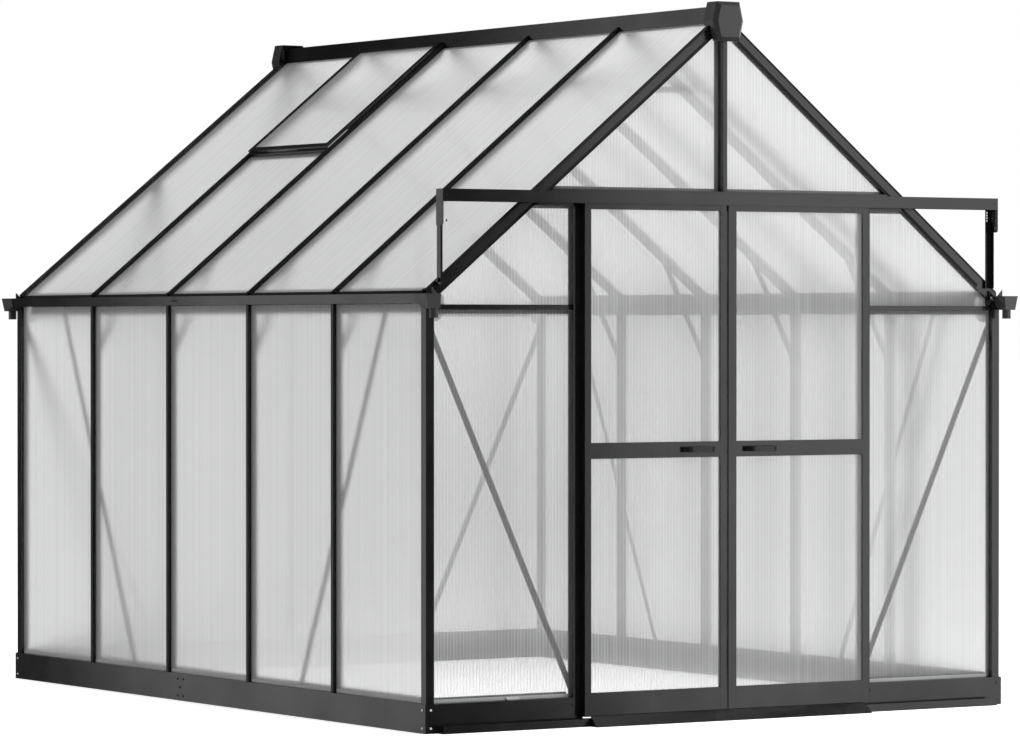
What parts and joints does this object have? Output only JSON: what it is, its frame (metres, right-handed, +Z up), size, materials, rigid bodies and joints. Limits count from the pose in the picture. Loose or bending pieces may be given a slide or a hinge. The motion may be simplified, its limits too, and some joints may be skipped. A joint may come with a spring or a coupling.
{
  "type": "polycarbonate greenhouse",
  "caption": "Walk-in hobby greenhouse with a pitched roof, a bolted dark frame glazed with twin-wall sheet, sliding double doors, a roof vent and gutters.",
  "frame": {"origin": "on the ground at the middle of the plan of the wall frame", "axes": "+X across the gables to the right as seen from the doors, +Y from the door gable to the back gable, +Z up"},
  "size_m": [2.529, 3.2485, 2.526],
  "materials": {
    "frame": "satin powder coat on an aluminium extrusion",
    "base": "satin powder coat on folded steel",
    "door_frame": "satin powder coat on an aluminium extrusion",
    "track": "satin powder coat on aluminium",
    "brace": "satin powder coat on flat steel",
    "cap": "moulded plastic with a fine grain",
    "handle": "moulded plastic",
    "runner": "moulded nylon",
    "sheet": "clear twin-wall polycarbonate with fine ribs"
  },
  "bodies": {
    "root": {"base_front": "base", "base_rear": "base", "base_left": "base", "base_right": "base", "door_threshold": "track", "door_track": "track", "corner_posts": "frame", "left_wall_bars": "frame", "right_wall_bars": "frame", "left_roof_bars": "frame", "right_roof_bars": "frame", "knee_braces": "brace", "collar_ties": "brace", "wall_braces": "brace", "gable_braces": "brace", "splice_plates": "brace", "apex_plates": "brace", "eave_plates": "brace", "left_gutter": "frame", "right_gutter": "frame", "gutter_caps": "cap", "ridge_beam": "frame", "ridge_caps": "cap", "front_rafters": "frame", "rear_rafters": "frame", "front_header": "frame", "front_centre_bar": "frame", "door_jambs": "frame", "front_transoms": "frame", "rear_posts": "frame", "rear_transoms": "frame", "left_wall_sheets": "sheet", "right_wall_sheets": "sheet", "left_roof_sheets": "sheet", "right_roof_sheets": "sheet", "front_sheets": "sheet", "rear_sheets": "sheet", "vent_side_rails": "frame", "vent_cross_rails": "frame", "vent_sheet": "sheet", "vent_sill": "frame", "door_rail": "frame", "rail_end_plates": "frame", "rail_struts": "frame"},
    "left_door": {"left_door_stiles": "door_frame", "left_door_rails": "door_frame", "left_door_sheets": "sheet", "left_door_handle": "handle", "left_door_runners": "runner"},
    "right_door": {"right_door_stiles": "door_frame", "right_door_rails": "door_frame", "right_door_sheets": "sheet", "right_door_handle": "handle", "right_door_runners": "runner"}
  },
  "joints": [
    {"name": "left_door_slide", "type": "slide", "parent": "root", "child": "left_door", "axis": [-1, 0, 0], "range_m": [0, 0.565]},
    {"name": "right_door_slide", "type": "slide", "parent": "root", "child": "right_door", "axis": [1, 0, 0], "range_m": [0, 0.565]}
  ]
}
